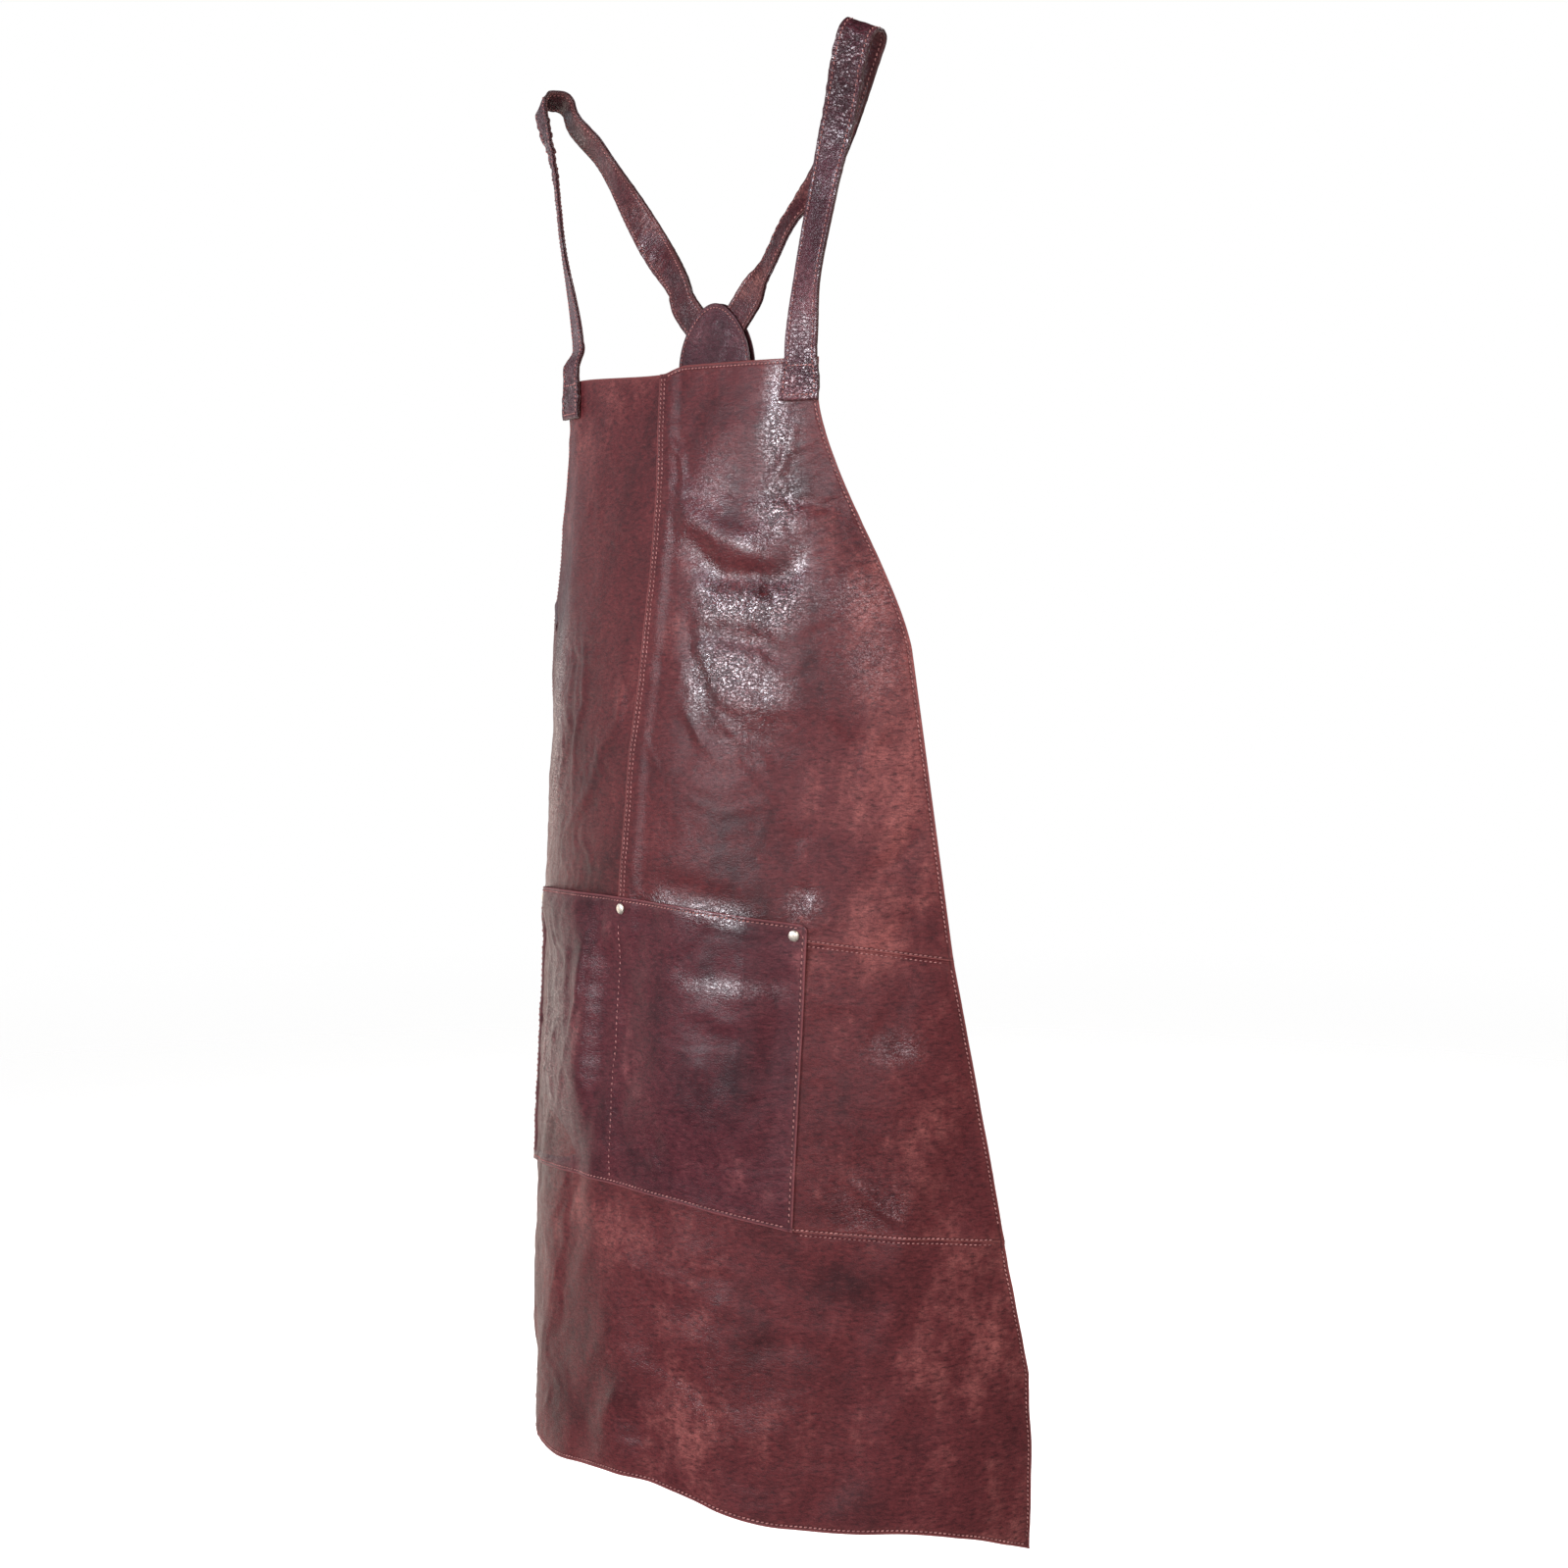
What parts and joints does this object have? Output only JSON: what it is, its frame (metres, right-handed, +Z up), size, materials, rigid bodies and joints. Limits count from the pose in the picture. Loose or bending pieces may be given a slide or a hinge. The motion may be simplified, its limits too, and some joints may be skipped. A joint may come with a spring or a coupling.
{
  "type": "welding apron",
  "caption": "Long leather welding apron with bib, patch pocket, shoulder straps meeting under a round back patch and buckled lower straps.",
  "frame": {"origin": "midway between the two shoulder strap crowns, level with their undersides, where shoulders or two pegs hold the apron up", "axes": "+Z up; the front of the apron faces -Y; the wearer's left is +X"},
  "size_m": [0.5456, 0.2094, 1.1563],
  "materials": {
    "panel_leather": "deep burgundy full-grain leather, semi-gloss, mottled",
    "strap_leather": "deep burgundy full-grain leather, glossy on the creases",
    "lining_leather": "brown burgundy leather, matt",
    "nickel_steel": "nickel-plated steel, bright"
  },
  "bodies": {
    "apron": {"bib_panel_left": "panel_leather", "bib_panel_right": "panel_leather", "waist_panel": "panel_leather", "skirt_panel": "panel_leather", "pocket_leaf": "panel_leather", "shoulder_strap_left_outer": "strap_leather", "shoulder_strap_right_outer": "strap_leather", "lower_strap_left_outer": "strap_leather", "lower_strap_right_outer": "strap_leather", "waist_tab_left": "strap_leather", "waist_tab_right": "strap_leather", "back_patch_outer": "strap_leather", "back_patch_inner": "strap_leather", "shoulder_strap_left_lining": "lining_leather", "shoulder_strap_right_lining": "lining_leather", "lower_strap_left_lining": "lining_leather", "lower_strap_right_lining": "lining_leather", "rivet_cap_left": "nickel_steel", "rivet_cap_centre": "nickel_steel", "rivet_cap_right": "nickel_steel", "rivet_burr_left": "nickel_steel", "rivet_burr_centre": "nickel_steel", "rivet_burr_right": "nickel_steel", "buckle_frame_left": "nickel_steel", "buckle_frame_right": "nickel_steel"},
    "left_prong": {"buckle_prong_left": "nickel_steel"},
    "left_roller": {"buckle_roller_left": "nickel_steel"},
    "left_keeper": {"strap_keeper_left": "strap_leather"},
    "right_prong": {"buckle_prong_right": "nickel_steel"},
    "right_roller": {"buckle_roller_right": "nickel_steel"},
    "right_keeper": {"strap_keeper_right": "strap_leather"}
  },
  "joints": [
    {"name": "left_prong_hinge", "type": "hinge", "parent": "apron", "child": "left_prong", "pos_m": [0.14586, 0.00391, -0.38981], "axis": [-0.6859, -0.4084, -0.6023], "range_deg": [0, 25]},
    {"name": "left_roller_spin", "type": "hinge", "parent": "apron", "child": "left_roller", "pos_m": [0.1252, 0.0068, -0.36824], "axis": [0.6859, 0.4084, 0.6023], "continuous": true},
    {"name": "left_keeper_slide", "type": "slide", "parent": "apron", "child": "left_keeper", "axis": [-0.6885, 0.0962, 0.7189], "range_m": [-0.012, 0.004]},
    {"name": "right_prong_hinge", "type": "hinge", "parent": "apron", "child": "right_prong", "pos_m": [-0.14586, 0.00391, -0.38981], "axis": [-0.6859, 0.4084, 0.6023], "range_deg": [0, 25]},
    {"name": "right_roller_spin", "type": "hinge", "parent": "apron", "child": "right_roller", "pos_m": [-0.1252, 0.0068, -0.36824], "axis": [-0.6859, 0.4084, 0.6023], "continuous": true},
    {"name": "right_keeper_slide", "type": "slide", "parent": "apron", "child": "right_keeper", "axis": [0.6885, 0.0962, 0.7189], "range_m": [-0.012, 0.004]}
  ]
}
